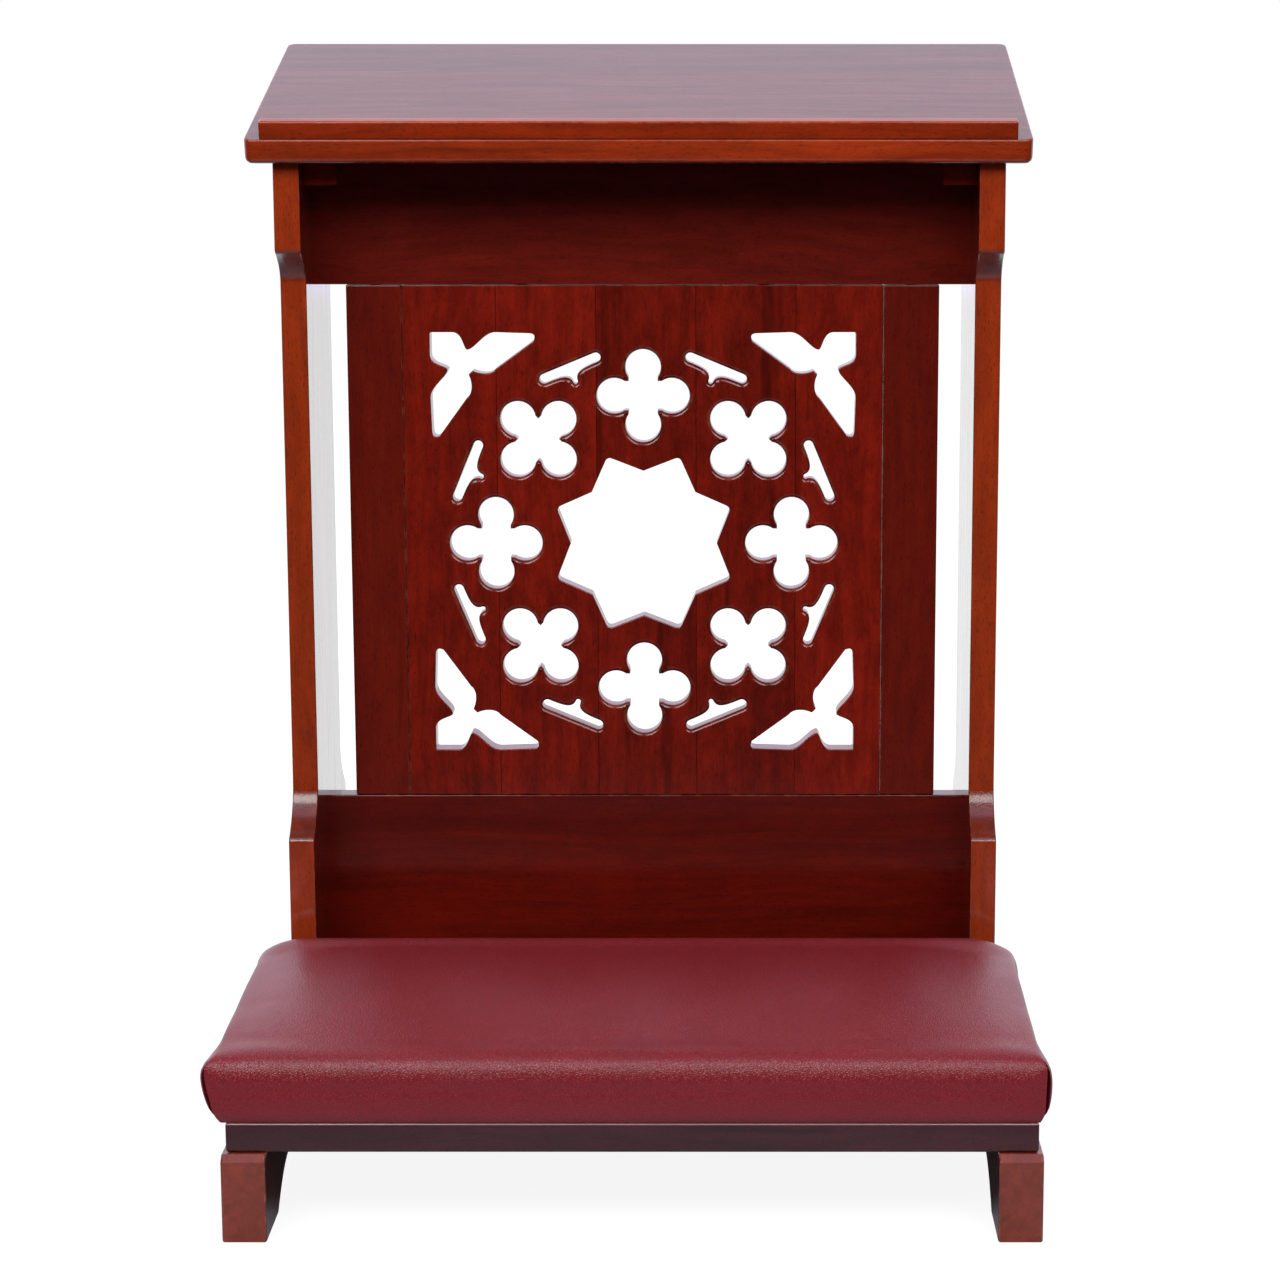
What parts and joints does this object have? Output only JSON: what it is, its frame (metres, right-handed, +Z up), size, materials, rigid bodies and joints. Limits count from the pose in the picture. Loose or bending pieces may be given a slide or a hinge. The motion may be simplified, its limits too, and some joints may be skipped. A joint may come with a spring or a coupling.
{
  "type": "prayer kneeler",
  "caption": "Church prayer kneeler with a sloped book desk, shaped side boards, a pierced Gothic tracery panel between rails and a padded kneeling board on arched runners.",
  "frame": {"origin": "on the floor, at the middle of the box around the object", "axes": "+Z up, -Y the front where the person kneels, +X to the right seen from the front"},
  "size_m": [0.5612, 0.5168, 0.7893],
  "materials": {
    "desk": "dark mahogany stain under gloss lacquer",
    "boards": "warm mahogany stain under gloss lacquer",
    "panel": "red-brown mahogany stain under gloss lacquer",
    "runners": "brown mahogany stain under satin lacquer",
    "leatherette": "burgundy leatherette with a fine pebble grain",
    "plywood": "bare",
    "foam": "open cell, bare",
    "dowels": "bare, glued",
    "fasteners": "zinc plated"
  },
  "bodies": {
    "root": {"desk_top": "desk", "book_ledge": "desk", "left_side_board": "boards", "right_side_board": "boards", "front_left_cleat": "boards", "front_right_cleat": "boards", "rear_left_cleat": "boards", "rear_right_cleat": "boards", "fretwork_panel": "panel", "left_stile": "panel", "right_stile": "panel", "upper_rail": "panel", "lower_rail": "panel", "left_runner": "runners", "right_runner": "runners", "kneeling_board": "runners", "pad_cover": "leatherette", "pad_base": "plywood", "pad_foam": "foam", "upper_rail_dowel_left_low": "dowels", "upper_rail_dowel_left_high": "dowels", "upper_rail_dowel_right_low": "dowels", "upper_rail_dowel_right_high": "dowels", "lower_rail_dowel_left_low": "dowels", "lower_rail_dowel_left_high": "dowels", "lower_rail_dowel_right_low": "dowels", "lower_rail_dowel_right_high": "dowels", "panel_left_top_dowel": "dowels", "panel_left_foot_dowel": "dowels", "panel_right_top_dowel": "dowels", "panel_right_foot_dowel": "dowels", "left_stile_top_dowel": "dowels", "left_stile_foot_dowel": "dowels", "right_stile_top_dowel": "dowels", "right_stile_foot_dowel": "dowels", "left_runner_bolt_front": "fasteners", "left_runner_bolt_rear": "fasteners", "right_runner_bolt_front": "fasteners", "right_runner_bolt_rear": "fasteners", "left_board_screw_front": "fasteners", "left_board_screw_rear": "fasteners", "right_board_screw_front": "fasteners", "right_board_screw_rear": "fasteners", "left_pad_screw_front": "fasteners", "left_pad_screw_rear": "fasteners", "right_pad_screw_front": "fasteners", "right_pad_screw_rear": "fasteners", "front_left_cleat_desk_screw": "fasteners", "front_left_cleat_side_screw": "fasteners", "front_right_cleat_desk_screw": "fasteners", "front_right_cleat_side_screw": "fasteners", "rear_left_cleat_desk_screw": "fasteners", "rear_left_cleat_side_screw": "fasteners", "rear_right_cleat_desk_screw": "fasteners", "rear_right_cleat_side_screw": "fasteners", "ledge_screw_left": "fasteners", "ledge_screw_middle": "fasteners", "ledge_screw_right": "fasteners"}
  },
  "joints": []
}
